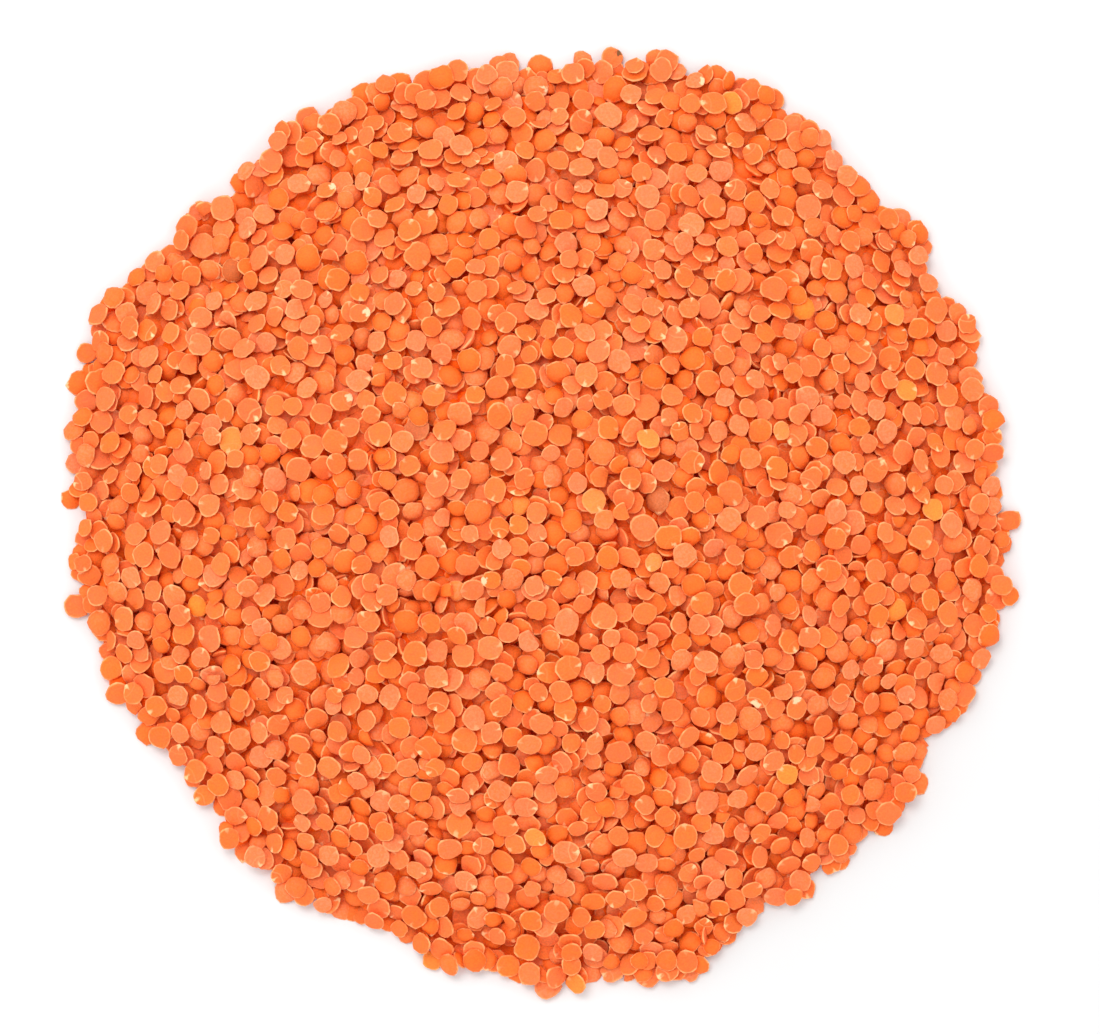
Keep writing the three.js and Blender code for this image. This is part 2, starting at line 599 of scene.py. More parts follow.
    def find_rest(self, lentils: Lentils, shuffle: float) -> Lentils:
        """Lets each lentil try several places near by, and keeps the one where it lies lowest.

        Args:
            lentils: The lentils as they drop.
            shuffle: How far from where it drops each tries, along X and along Y.

        Returns:
            The lentils at rest.
        """
        best = None
        for attempt in range(self.tries):
            tried = lentils.take(np.arange(len(lentils)))
            shift = self.rng.uniform(-shuffle, shuffle, tried.place.shape)
            tried.place = tried.place + (shift if attempt else 0)
            self.settle(tried, steps=10, stride=0.2)
            steepness = np.hypot(*(tried.slope - self.fall_at(tried.place)).T)
            depth = tried.z - self.level_at(tried.place) + self.steep_cost * steepness
            if best is None:
                best, lowest = tried, depth
                continue
            both = Lentils.joined([best, tried])
            better = depth < lowest
            best = both.take(np.arange(len(tried)) + np.where(better, len(tried), 0))
            lowest = np.where(better, depth, lowest)
        self.settle(best, steps=24, stride=0.06)
        return best

    def fits(self, lentils: Lentils, allowance: float = 0.0) -> Array:
        """Says which lentils lie at rest and under the mound's surface, give or take an allowance."""
        steepness = np.hypot(*lentils.slope.T)
        rise = np.where(lentils.flat_up, 0, lentils.thickness)
        upright = lentils.radius * steepness / np.sqrt(1 + steepness**2)
        rise = np.where(lentils.leaning, upright, rise)
        level = self.level_at(lentils.place)
        proud = self.rng.normal(self.usual_rise, self.rise_spread, len(lentils))
        under_surface = lentils.z + rise <= level + proud + allowance
        skin = self.skin[:: self.skin_stride] @ lentils.frames().transpose(0, 2, 1)
        cover = self.level_at((lentils.place[:, None] + skin[..., :2]).reshape(-1, 2)).reshape(skin.shape[:2])
        stands_out = (lentils.z[:, None] + skin[..., 2] - cover).max(axis=1)
        under_surface &= stands_out < self.proudest
        off_fall = np.hypot(*(lentils.slope - self.fall_at(lentils.place)).T)
        at_rest = lentils.leaning | (off_fall < self.steepest_rest)
        return under_surface & at_rest & (self.depth_inside(lentils.place) > -self.foot_slack)

    def stamp(self, lentils: Lentils, first: int) -> None:
        """Raises the grid of heights to the lentils' skin.

        Args:
            lentils: The lentils that stay.
            first: The number of the first of them.
        """
        unit = np.broadcast_to(self.skin, (len(lentils), *self.skin.shape))
        points = unit @ lentils.frames().transpose(0, 2, 1)
        has = lentils.has(unit)
        row, column = self.cells(lentils.place[:, None] + points[..., :2])
        top = lentils.z[:, None] + points[..., 2]
        number = np.broadcast_to(first + np.arange(len(lentils))[:, None], has.shape)
        row, column, top, number = row[has], column[has], top[has], number[has]
        np.maximum.at(self.height, (row, column), top)
        highest = top >= self.height[row, column]
        self.owner[row[highest], column[highest]] = number[highest]

    def keep(self, lentils: Lentils) -> None:
        """Adds lentils to the heap."""
        self.stamp(lentils, sum(map(len, self.layers)))
        self.layers.append(lentils)

    def drop_on(self, place: Array, shuffle: float, allowance: float = 0.0) -> None:
        """Drops a lentil on each place inside the foot, and keeps those that fit."""
        rested = self.find_rest(self.drop(place[self.depth_inside(place) > 0]), shuffle)
        self.keep(rested.take(self.fits(rested, allowance)))

    def slip_under(self, place: Array) -> None:
        """Slips a lentil into the gap at each place, so that the lentils round it lie over it.

        Args:
            place: The x and y of each gap.
        """
        lentils = self.drop(place)
        n = len(lentils)
        heading = headed(self.rng.uniform(0, math.tau, n))
        lentils.slope = heading * self.rng.uniform(0, self.slipped_slope, n)[:, None] + self.fall_at(place)
        lentils.leaning[:] = False
        frames = lentils.frames().transpose(0, 2, 1)
        unit = np.where(lentils.flat_up[:, None, None], self.flat_points, self.round_points)
        points = unit @ frames
        cells = self.cells(lentils.place[:, None] + points[..., :2])
        over = self.height[cells]
        is_covered = (self.level[cells] - over < self.deep_gap) & (self.owner[cells] >= 0)
        roof = np.where(is_covered, over - points[..., 2], np.inf).min(axis=1)
        highest = self.level_at(lentils.place) - points[..., 2].max(axis=1)
        lentils.z = np.minimum(roof - self.rng.uniform(*self.slipped_depths, n), highest)
        low = lentils.z + (self.skin[:: self.skin_stride] @ frames)[..., 2].min(axis=1)
        self.keep(lentils.take(is_covered.any(axis=1) & (low > 0)))

    def lay_under(self, place: Array) -> None:
        """Lays a small lentil flat on the table at each place, where it shows between others."""
        lentils = self.drop(place[self.depth_inside(place) > 0])
        lentils.slope *= 0
        lentils.leaning[:] = False
        lentils.radius *= self.small
        lentils.thickness *= self.small
        lentils.z = np.where(lentils.flat_up, lentils.thickness, 0) + self.clearance
        self.keep(lentils)

    def run(self) -> Lentils:
        """Pours the whole heap.

        Returns:
            All the lentils, lowest first.
        """
        strays = self.drop(np.array(FOOT_STRAYS) + np.array(self.mound.middle())[:2])
        strays.leaning[:] = False
        strays.slope *= 0
        self.settle(strays, steps=24, stride=0.1)
        self.keep(strays)
        for _ in range(self.spread_rounds):
            self.drop_on(self.spread_places(), self.shuffle)
        for _ in range(self.hollow_rounds):
            hollow = around(self.gap()) / AROUND_CELLS
            self.drop_on(self.worst_places(hollow - self.tried, self.shallowest), self.shuffle)
        self.tried *= 0
        for _ in range(self.foot_rounds):
            place = self.worst_places(self.bare() - self.tried, self.least_bare)
            self.drop_on(place, self.foot_shuffle, self.foot_allowance)
        self.tried *= 0
        for _ in range(self.bare_rounds):
            self.lay_under(self.worst_places(self.bare() - self.tried, self.least_bare))
        self.tried *= 0
        for _ in range(self.gap_rounds):
            self.slip_under(self.worst_places(self.gap() - self.tried, self.deep_gap))
        return Lentils.joined(self.layers)

    def share_seen(self, lentils: Lentils) -> Array:
        """Gives the share of each lentil's disc that can be seen from above."""
        cells = np.bincount(self.owner[self.owner >= 0], minlength=len(lentils))
        return cells * self.cell**2 / (math.pi * lentils.radius**2 * lentils.narrow)


# Finishes

Socket = bpy.types.NodeSocket


class Shader:
    """A material's nodes, with short methods for the ones that the finishes use."""

    def __init__(self, name: str) -> None:
        """Starts a material with one surface shader."""
        self.material = bpy.data.materials.new(name)
        self.material.use_nodes = True
        self.tree = self.material.node_tree
        self.surface = self.tree.nodes["Principled BSDF"]
        self.place = self.node("ShaderNodeTexCoord").outputs["Object"]

    def node(self, kind: str, inputs: dict | None = None, **settings: object) -> bpy.types.Node:
        """Adds a node.

        Args:
            kind: The node's type.
            inputs: What its sockets are linked to or set to, by name or number.
            settings: Its other properties.

        Returns:
            The node.
        """
        node = self.tree.nodes.new(kind)
        for name, value in settings.items():
            setattr(node, name, value)
        for name, value in (inputs or {}).items():
            self.feed(node.inputs[name], value)
        return node

    def feed(self, socket: Socket, value: Socket | float | Colour) -> None:
        """Links a socket to another, or sets its value."""
        if isinstance(value, bpy.types.NodeSocket):
            self.tree.links.new(value, socket)
        elif isinstance(value, tuple) and len(socket.default_value) == 4:
            socket.default_value = (*value, 1)
        else:
            socket.default_value = value

    def noise(self, size: float, detail: float = 2.0, roughness: float = 0.5) -> Socket:
        """Gives soft noise, from 0 to 1, whose patches are about that many millimetres wide."""
        inputs = {"Vector": self.place, "Scale": 1 / (size * MM), "Detail": detail, "Roughness": roughness}
        return self.node("ShaderNodeTexNoise", inputs).outputs["Fac"]

    def math(self, operation: str, *values: Socket | float) -> Socket:
        """Does one sum on one to three values."""
        return self.node("ShaderNodeMath", dict(enumerate(values)), operation=operation).outputs[0]

    def step(self, value: Socket, low: float, high: float, start: float = 0.0, end: float = 1.0) -> Socket:
        """Leads a value softly from start to end, as it goes from low to high."""
        inputs = {"Value": value, "From Min": low, "From Max": high, "To Min": start, "To Max": end}
        return self.node("ShaderNodeMapRange", inputs, interpolation_type="SMOOTHSTEP").outputs["Result"]

    def mix(self, share: Socket | float, first: Socket | Colour, second: Socket | Colour) -> Socket:
        """Mixes two colours, the second by its share."""
        node = self.node("ShaderNodeMix", data_type="RGBA")
        sockets = {socket.identifier: socket for socket in (*node.inputs, *node.outputs)}
        self.feed(sockets["Factor_Float"], share)
        self.feed(sockets["A_Color"], first)
        self.feed(sockets["B_Color"], second)
        return sockets["Result_Color"]

    def scaled(self, colour: Socket, amount: Socket) -> Socket:
        """Makes a colour lighter or darker."""
        return self.node("ShaderNodeVectorMath", {0: colour, "Scale": amount}, operation="SCALE").outputs[0]

    def attribute(self, name: str) -> Socket:
        """Reads one of the mesh's own values."""
        return self.node("ShaderNodeAttribute", attribute_name=name).outputs["Fac"]

    def bump(self, height: Socket, depth: float) -> None:
        """Raises the surface by a height from 0 to 1, to that many millimetres."""
        node = self.node("ShaderNodeBump", {"Height": height, "Distance": depth * MM, "Strength": 1.0})
        self.tree.links.new(node.outputs["Normal"], self.surface.inputs["Normal"])


@dataclass(frozen=True)
class LentilFinish:
    """Dry lentil flesh: salmon to orange, dull, with a pale thin rim, a pale scar and a breath of flour."""

    pink: Colour = linear(240, 108, 54)
    orange: Colour = linear(241, 110, 35)
    round_side: Colour = linear(242, 106, 32)
    rim: Colour = linear(249, 173, 112)
    scar: Colour = linear(251, 197, 143)
    flour: Colour = linear(232, 146, 106)
    darkest: float = 0.84
    lightest: float = 1.03
    rim_strength: float = 0.9
    flour_strength: float = 0.5
    fold_from: float = 0.7
    # Painted shade on the sunken side of a fold, and a painted highlight along its crest
    fold_shade: float = 0.86
    crest_strength: float = 0.45
    specular: float = 0.18
    patch: Colour = linear(248, 196, 152)
    patch_strength: float = 0.0
    patch_size: float = 0.43
    patch_on_flat: tuple[float, float, float] = (0.82, 0.12, 0)
    patch_on_round: tuple[float, float, float] = (1.45, 0.1, 0)

    def material(self, name: str) -> bpy.types.Material:
        """Makes the material.

        Args:
            name: Its name.

        Returns:
            The material, which reads the piece's skin map and its tones.
        """
        shader = Shader(name)
        skin = shader.node("ShaderNodeUVMap", uv_map="skin").outputs["UV"]
        out = shader.node("ShaderNodeVectorMath", {0: skin}, operation="LENGTH").outputs["Value"]
        split = shader.node("ShaderNodeSeparateXYZ", {0: skin})
        along, across = split.outputs["X"], split.outputs["Y"]

        patches = shader.noise(1.3, detail=3)
        grain = shader.noise(0.35, detail=3, roughness=0.6)
        warmth = shader.math("ADD", shader.attribute("warmth"), shader.step(patches, 0.3, 0.7, -0.22, 0.22))
        flesh = shader.mix(warmth, self.pink, self.orange)
        on_round = shader.step(out, 1.0, 1.08)
        flesh = shader.mix(on_round, flesh, self.round_side)
        shade = shader.step(shader.attribute("shade"), 0, 1, self.darkest, self.lightest)
        shade = shader.math("MULTIPLY", shade, shader.step(grain, 0.25, 0.75, 0.83, 1.12))
        flesh = shader.scaled(flesh, shade)

        worn = shader.math("ADD", out, shader.step(patches, 0.3, 0.7, -0.03, 0.03))
        rim = shader.math("MULTIPLY", shader.step(worn, 0.82, 0.96), shader.step(out, 1.02, 1.1, 1, 0))
        rubbed = shader.step(shader.noise(2.4, detail=2), 0.36, 0.66, 0.12, self.rim_strength)
        rim = shader.math("MULTIPLY", rim, rubbed)
        flesh = shader.mix(rim, flesh, self.rim)

        ragged = shader.step(shader.noise(0.8, detail=2), 0.3, 0.7, -0.09, 0.09)
        width = shader.math("MULTIPLY_ADD", shader.math("SUBTRACT", along, 0.4), 0.3, 0.02)
        beside = shader.math("SUBTRACT", width, shader.math("ABSOLUTE", shader.math("ADD", across, ragged)))
        wedge = shader.math("MULTIPLY", shader.step(beside, -0.09, 0.09), shader.step(along, 0.25, 0.8))
        wedge = shader.math("MULTIPLY", wedge, shader.step(out, 1.05, 1.2, 1, 0))
        scar = shader.math("MULTIPLY", wedge, shader.attribute("scar"))
        flesh = shader.mix(scar, flesh, self.scar)

        # The fold is drawn in colour only: a painted highlight along its crest and a painted shade on its
        # sunken side.
        from_fold = shader.node("ShaderNodeVectorMath", {0: skin, 1: (1.45, 0.2, 0)}, operation="DISTANCE")
        fold_line = shader.step(patches, 0.2, 0.8, 1.22, 1.34)
        past_fold = shader.math("SUBTRACT", from_fold.outputs["Value"], fold_line)
        folded = shader.step(shader.attribute("scar"), self.fold_from, 1)
        painted_fold_highlight = shader.step(shader.math("ABSOLUTE", past_fold), 0.01, 0.09, self.crest_strength, 0)
        on_flat = shader.step(out, 1.0, 1.05, 1, 0)
        folded = shader.math("MULTIPLY", folded, on_flat)
        flesh = shader.mix(shader.math("MULTIPLY", painted_fold_highlight, folded), flesh, self.rim)
        # Painted shade: darker on the sunken side of the fold.
        sinking = shader.step(past_fold, -0.4, 0)
        rising = shader.step(past_fold, 0, 0.04, 1, 0)
        painted_shade_by_fold = shader.math("MULTIPLY", sinking, rising)
        painted_shade_by_fold = shader.math("MULTIPLY", painted_shade_by_fold, folded)
        flesh = shader.scaled(flesh, shader.step(painted_shade_by_fold, 0, 1, 1, self.fold_shade))

        speckle = shader.step(shader.noise(0.55, detail=4, roughness=0.65), 0.42, 0.62)
        flour = shader.math("MULTIPLY", shader.attribute("dust"), shader.step(speckle, 0, 1, 0.45, 1))
        flour = shader.math("MULTIPLY", flour, self.flour_strength)
        flesh = shader.mix(flour, flesh, self.flour)

        if self.patch_strength:
            on_flat_side = shader.node(
                "ShaderNodeVectorMath", {0: skin, 1: self.patch_on_flat}, operation="DISTANCE"
            )
            on_round_side = shader.node(
                "ShaderNodeVectorMath", {0: skin, 1: self.patch_on_round}, operation="DISTANCE"
            )
            smaller = shader.math("ADD", on_round_side.outputs["Value"], 0.12)
            from_patch = shader.math("MINIMUM", on_flat_side.outputs["Value"], smaller)
            torn = shader.step(shader.noise(0.7, detail=3, roughness=0.6), 0.3, 0.7, -0.16, 0.16)
            torn = shader.math("ADD", from_patch, torn)
            inner, outer = self.patch_size - 0.1, self.patch_size + 0.1
            flesh = shader.mix(shader.step(torn, inner, outer, self.patch_strength, 0), flesh, self.patch)

        shader.feed(shader.surface.inputs["Base Color"], flesh)
        shader.feed(shader.surface.inputs["Roughness"], shader.step(grain, 0.3, 0.7, 0.46, 0.6))
        shader.surface.inputs["Specular IOR Level"].default_value = self.specular
        height = shader.math("ADD", grain, shader.math("MULTIPLY", patches, 2.0))
        dished = shader.math("MULTIPLY", shader.step(out, 0.5, 0.9), shader.step(out, 1.05, 1.1, 1, 0))
        height = shader.math("ADD", height, shader.math("MULTIPLY", dished, 1.6))
        shader.bump(height, 0.05)
        return shader.material


@dataclass(frozen=True)
class TableFinish:
    """A plain white table top, faintly uneven in its gloss.

    Its colour is made a little lighter out of the softbox's reach, which is painted light, and a little
    greyer past the heap on the side away from the softbox, which is painted shadow.
    """

    # Painted light: the table's white rises from near to far, where the softbox gives less light.
    near_white: float = 0.715
    far_white: float = 0.785
    near_reach: float = 0.15
    far_reach: float = 0.9
    # Painted shadow: the table is greyer past the heap on the side away from the softbox.
    dull_side: tuple[float, float, float] = (0.707, -0.707, 0.0)
    dull_edge: float = 0.72
    dull_middle: float = 0.96
    dull_share: float = 0.912

    def material(self) -> bpy.types.Material:
        """Makes the material."""
        shader = Shader("table_white")
        cloud = shader.noise(40, detail=2)
        distance = shader.node("ShaderNodeVectorMath", {0: shader.place}, operation="LENGTH").outputs["Value"]
        # Painted light: lighter out of the softbox's reach.
        white = shader.step(distance, self.near_reach, self.far_reach, self.near_white, self.far_white)
        heading = shader.node("ShaderNodeVectorMath", {0: shader.place}, operation="NORMALIZE")
        aligned = shader.node(
            "ShaderNodeVectorMath", {0: heading.outputs["Vector"], 1: self.dull_side}, operation="DOT_PRODUCT"
        )
        # Painted shadow: greyer past the heap, on the side away from the softbox.
        painted_shadow = shader.step(aligned.outputs["Value"], self.dull_edge, self.dull_middle, 1, self.dull_share)
        shader.feed(shader.surface.inputs["Base Color"], shader.math("MULTIPLY", white, painted_shadow))
        shader.feed(shader.surface.inputs["Roughness"], shader.step(cloud, 0.3, 0.7, 0.6, 0.7))
        return shader.material


# The lentils' meshes


def cut_away(mesh: bmesh.types.BMesh, place: Sequence[float], normal: Sequence[float], dist: float) -> None:
    """Cuts off what lies past a plane, on the side that its normal points to.

    Args:
        mesh: The mesh.
        place: A point of the plane.
        normal: The plane's normal.
        dist: How close to the plane a corner counts as in it.
    """
    everything = list(mesh.verts) + list(mesh.edges) + list(mesh.faces)
    bmesh.ops.bisect_plane(
        mesh, geom=everything, plane_co=place, plane_no=normal, clear_outer=True, dist=dist
    )


def close_holes(mesh: bmesh.types.BMesh) -> list[bmesh.types.BMFace]:
    """Fills the holes in a mesh, and gives the faces that fill them."""
    boundary = [edge for edge in mesh.edges if edge.is_boundary]
    return bmesh.ops.holes_fill(mesh, edges=boundary, sides=0)["faces"]


def in_scene(name: str, data: bpy.types.ID) -> bpy.types.Object:
    """Makes an object of some data and puts it into the scene."""
    thing = bpy.data.objects.new(name, data)
    bpy.context.scene.collection.objects.link(thing)
    return thing


@dataclass(frozen=True)
class Pattern:
    """One lentil's mesh as arrays, to be copied many times. Its radius and its thickness are 1.

    The skin map gives a corner's place on the lentil: from its middle at 0 over the flat side to the rim at
    1, and on over the round side to 2. The cell map gives its place in a square cell of the piece's own map.
    """

    corners: Array
    loops: Array
    face_sizes: Array
    smooth: Array
    skin: Array
    cell: Array


@dataclass(frozen=True)
class LentilShape:
    """The mesh of one split lentil, flat side up at z = 0, with as many faces as its side in view needs."""

    form: Form
    flat_up: bool
    full: bool = False
    plain: bool = False
    flat_sides: int = 16
    round_sides: int = 14
    plain_sides: int = 10
    fine_edge: tuple[tuple[float, float], ...] = ((0.86, 0.0), (0.95, -0.025), (1.0, -0.13))
    plain_edge: tuple[tuple[float, float], ...] = ((0.95, 0.0), (1.0, -0.13))
    round_rows: tuple[float, ...] = (0.88, 0.56)
    plain_row: float = 0.62
    unevenness: float = 0.044
    seen_centre: float = 0.455
    seen_radius: float = 0.43
    hidden_centre: float = 0.935
    hidden_radius: float = 0.055
    fall_room: float = 0.5
    wave_counts: tuple[int, ...] = (2, 3, 4, 5, 7)
    notch_width: float = 0.24
    chip_width: float = 0.42
    dome_bumps: float = 0.02
    break_gap: float = 0.06
    break_scale: float = 0.6

    @property
    def shows_round(self) -> bool:
        """Says whether the round side needs its full form."""
        return self.full or not self.flat_up

    @property
    def sides(self) -> int:
        """Gives how many steps go round the lentil."""
        if self.plain:
            return self.plain_sides
        return self.flat_sides if self.flat_up else self.round_sides

    def turned(self) -> bmesh.types.BMesh:
        """Spins the profile of the rim and the round side round the lentil's axis, and closes both sides."""
        mesh = bmesh.new()
        rows = self.round_rows if self.shows_round and not self.plain else (self.plain_row,)
        profile = list(self.fine_edge if self.flat_up and not self.plain else self.plain_edge)
        profile += [(row, -float(dome(np.array(row)))) for row in rows]
        if self.shows_round:
            profile.append((0.0, -1.0))
        points = [mesh.verts.new((x, 0, z)) for x, z in profile]
        edges = [mesh.edges.new(pair) for pair in zip(points, points[1:])]
        bmesh.ops.spin(
            mesh,
            geom=points + edges,
            cent=(0, 0, 0),
            axis=(0, 0, 1),
            dvec=(0, 0, 0),
            angle=math.tau,
            steps=self.sides,
            use_merge=True,
        )
        bmesh.ops.remove_doubles(mesh, verts=mesh.verts, dist=CLOSE)
        close_holes(mesh)
        bmesh.ops.recalc_face_normals(mesh, faces=mesh.faces)
        return mesh

    def map_sides(self, mesh: bmesh.types.BMesh) -> None:
        """Gives every corner its place in the skin map and in the cell map."""
        skin = mesh.loops.layers.uv.new("skin")
        cell = mesh.loops.layers.uv.new("cell")
        for face in mesh.faces:
            on_flat = face.normal.z > 0.3
            seen = on_flat == self.flat_up
            middle = face.calc_center_median()
            for loop in face.loops:
                share = math.hypot(*loop.vert.co.xy)
                at_pole = share < TINY
                heading = (middle if at_pole else loop.vert.co).xy.normalized()
                loop[skin].uv = heading * (share if on_flat else 2 - share)
                reach = self.chart_reach(share, on_flat)
                centre = self.seen_centre if seen else self.hidden_centre
                radius = self.seen_radius if seen else self.hidden_radius
                loop[cell].uv = Vector((centre, centre)) + heading * (0 if at_pole else reach * radius)

    def chart_reach(self, share: float, on_flat: bool) -> float:
        """Gives how far out a corner lies in its side's part of the cell.

        Args:
            share: The corner's distance from the lentil's axis.
            on_flat: Whether the face is on the flat side, rim included.

        Returns:
            The distance from that part's middle, 1 at its edge.
        """
        if on_flat:
            return share
        fall = 1 - math.sqrt(max(1 - share**2, 0))
        return (share + self.fall_room * fall) / (1 + self.fall_room)

    def dent(self, mesh: bmesh.types.BMesh, seed: int) -> None:
        """Makes the outline uneven, and presses in the form's notch or chip.

        Args:
            mesh: The lentil.
            seed: Picks which uneven outline it gets.
        """
        rng = np.random.default_rng(seed)
        waves = []
        for count in self.wave_counts:
            phase = rng.uniform(0, math.tau)
            waves.append((count, phase, rng.uniform(0.3, 1) / math.sqrt(count)))
        chip_at = rng.uniform(0.6, math.tau - 0.6)
        for vert in mesh.verts:
            share = math.hypot(*vert.co.xy)
            if share < TINY:
                continue
            turn = math.atan2(vert.co.y, vert.co.x)
            swing = sum(depth * math.cos(count * turn + phase) for count, phase, depth in waves)
            notch = self.form.notch * math.exp(-((turn / self.notch_width) ** 2))
            off_chip = math.remainder(turn - chip_at, math.tau)
            chip = self.form.chip * math.exp(-((off_chip / self.chip_width) ** 4))
            outer = max(share, 0.5) ** 2
            factor = 1 + (2 * self.unevenness * swing - notch - chip) * outer
            vert.co.xy *= factor
            vert.co.z += rng.uniform(-self.dome_bumps, self.dome_bumps) * (vert.co.z < -TINY)

    def snap(self, mesh: bmesh.types.BMesh) -> list[bmesh.types.BMFace]:
        """Breaks the lentil off past the form's cuts, and closes the breaks.

        Args:
            mesh: The lentil.

        Returns:
            The faces that close the breaks.
        """
        breaks = []
        for distance, axis in ((self.form.cut_x, 0), (self.form.cut_y, 1)):
            if distance >= NO_CUT:
                continue
            normal = Vector((axis == 0, axis == 1, 0))
            cut_away(mesh, normal * distance, normal, CLOSE)
            filled = close_holes(mesh)
            self.map_break(mesh, filled, distance, axis)
            breaks += filled
        bmesh.ops.recalc_face_normals(mesh, faces=mesh.faces)
        return [face for face in breaks if face.is_valid]

    def map_break(self, mesh: bmesh.types.BMesh, faces: list, distance: float, axis: int) -> None:
        """Lays a break's face in both maps, just past the cut, where the lentil itself is gone.

        Args:
            mesh: The lentil.
            faces: The faces that close the break.
            distance: How far from the middle it runs.
            axis: 0 where it runs across x, 1 across y.
        """
        skin, cell = mesh.loops.layers.uv["skin"], mesh.loops.layers.uv["cell"]
        for loop in (corner for face in faces for corner in face.loops):
            place = loop.vert.co.xy.copy()
            place[axis] = distance + self.break_gap - 0.5 * loop.vert.co.z
            loop[skin].uv = place * self.break_scale
            loop[cell].uv = Vector((self.seen_centre,) * 2) + place * self.seen_radius

    def pattern(self, seed: int) -> Pattern:
        """Makes the lentil and reads it out as arrays.

        Args:
            seed: Picks which uneven outline it gets.

        Returns:
            The lentil's pattern.
        """
        mesh = self.turned()
        self.map_sides(mesh)
        self.dent(mesh, seed)
        breaks = self.snap(mesh)
        mesh.verts.index_update()
        skin, cell = mesh.loops.layers.uv["skin"], mesh.loops.layers.uv["cell"]
        loops = [loop for face in mesh.faces for loop in face.loops]
        pattern = Pattern(
            corners=np.array([vert.co[:] for vert in mesh.verts]),
            loops=np.array([loop.vert.index for loop in loops]),
            face_sizes=np.array([len(face.verts) for face in mesh.faces]),
            smooth=np.array([face not in breaks for face in mesh.faces]),
            skin=np.array([loop[skin].uv[:] for loop in loops]),
            cell=np.array([loop[cell].uv[:] for loop in loops]),
        )
        mesh.free()
        return pattern


class Kind(Enum):
    """The kinds of lentil in the heap. Each is one piece, with this name."""

    FLAT_UP = "lentils_flat_side_up"
    ROUND_UP = "lentils_round_side_up"
    NOTCHED = "lentils_with_a_notch"
    CHIPPED = "lentils_chipped"
    BROKEN = "lentils_broken"
    LEANING = "lentils_leaning"
    YELLOW = "lentils_yellow"
    PALE = "lentils_with_a_pale_patch"
    STAINED = "lentil_with_a_dark_stain"
    DULL = "lentils_dull"
    BETWEEN = "lentils_in_the_gaps"


# The kinds that are picked by where they lie
PLACES = {
    Kind.YELLOW: YELLOW_PLACES,
    Kind.PALE: PALE_PLACES,
    Kind.STAINED: STAINED_PLACES,
    Kind.DULL: DULL_PLACES,
}


@dataclass
class LentilPiece:
    """All the lentils of one kind, as one mesh in metres."""

    kind: Kind
    lentils: Lentils
    middle: Vector
    finish: LentilFinish
    looks: int = 5
    seed: int = 41
    clearance: float = 0.02

    def draw_tones(self) -> dict[str, Array]:
        """Draws what makes each lentil's colour its own, from 0 to 1."""
        rng = np.random.default_rng(self.seed)
        n = len(self.lentils)
        tones = {
            "warmth": np.clip(rng.normal(0.5, 0.24, n), 0, 1),
            "shade": np.clip(rng.normal(0.62, 0.17, n), 0, 1),
            "dust": rng.random(n) ** 2.6,
            "scar": np.clip(rng.normal(0.14, 0.42, n), 0, 1),
        }
        has_beak = np.array([form.notch < 0 for form in FORMS])[self.lentils.form]
        tones["scar"] = np.where(has_beak, np.maximum(tones["scar"], 0.8), tones["scar"])
        return tones

    def build(self) -> bpy.types.Object:
        """Copies the patterns to every lentil's place and joins the copies.

        Returns:
            The piece.
        """
        lentils = self.lentils
        frames = lentils.frames() * MM
        places = (np.column_stack([lentils.place, lentils.z]) - np.array(self.middle)) * MM
        tones = self.draw_tones()
        look = np.random.default_rng(self.seed + 1).integers(0, self.looks, len(lentils))
        columns = math.ceil(math.sqrt(len(lentils)))
        parts: dict[str, list[Array]] = defaultdict(list)
        spread: dict[str, list[Array]] = defaultdict(list)
        total = 0
        key = np.stack([lentils.form, lentils.flat_up, lentils.leaning, look], axis=1)
        for form, flat_up, leaning, number in np.unique(key, axis=0):
            rows = np.flatnonzero((key == (form, flat_up, leaning, number)).all(axis=1))
            plain = self.kind is Kind.BETWEEN
            shape = LentilShape(FORMS[form], bool(flat_up), full=bool(leaning), plain=plain)
            pattern = shape.pattern(seed=int(LOOKS_APART * form + number))
            n, count = len(rows), len(pattern.corners)
            corners = pattern.corners @ frames[rows].transpose(0, 2, 1) + places[rows][:, None]
            corners[..., 2] += np.maximum(self.clearance * MM - corners[..., 2].min(axis=1), 0)[:, None]
            first = total + np.arange(n)[:, None] * count
            square = np.stack([rows % columns, rows // columns], axis=1)[:, None]
            parts["corners"].append(corners.reshape(-1, 3))
            parts["loops"].append((pattern.loops + first).ravel())
            parts["sizes"].append(np.tile(pattern.face_sizes, n))
            parts["smooth"].append(np.tile(pattern.smooth, n))
            parts["skin"].append(np.tile(pattern.skin, (n, 1)))
            parts["cell"].append(((pattern.cell + square) / columns).reshape(-1, 2))
            for name, values in tones.items():
                spread[name].append(np.repeat(values[rows], count))
            total += n * count
        joined = {name: np.concatenate(arrays) for name, arrays in parts.items()}
        return self.to_object(joined, {name: np.concatenate(arrays) for name, arrays in spread.items()})

    def to_object(self, joined: dict[str, Array], tones: dict[str, Array]) -> bpy.types.Object:
        """Makes the Blender object from the joined arrays.

        Args:
            joined: The corners, faces and maps.
            tones: The tones, one value for each corner.

        Returns:
            The piece, with its finish.
        """
        mesh = bpy.data.meshes.new(self.kind.value)
        mesh.vertices.add(len(joined["corners"]))
        mesh.vertices.foreach_set("co", joined["corners"].ravel().astype(np.float32))
        mesh.loops.add(len(joined["loops"]))
        mesh.loops.foreach_set("vertex_index", joined["loops"].astype(np.int32))
        mesh.polygons.add(len(joined["sizes"]))
        starts = np.concatenate([[0], np.cumsum(joined["sizes"])[:-1]])
        mesh.polygons.foreach_set("loop_start", starts.astype(np.int32))
        mesh.polygons.foreach_set("use_smooth", joined["smooth"])
        mesh.update(calc_edges=True)
        for name, layer in (("skin", "skin"), ("OFBake", "cell")):
            mesh.uv_layers.new(name=name).data.foreach_set("uv", joined[layer].ravel().astype(np.float32))
        for name, values in tones.items():
            attribute = mesh.attributes.new(name, "FLOAT", "POINT")
            attribute.data.foreach_set("value", values.astype(np.float32))
        mesh.validate()
        mesh.materials.append(self.finish.material(self.kind.value))
        return in_scene(self.kind.value, mesh)


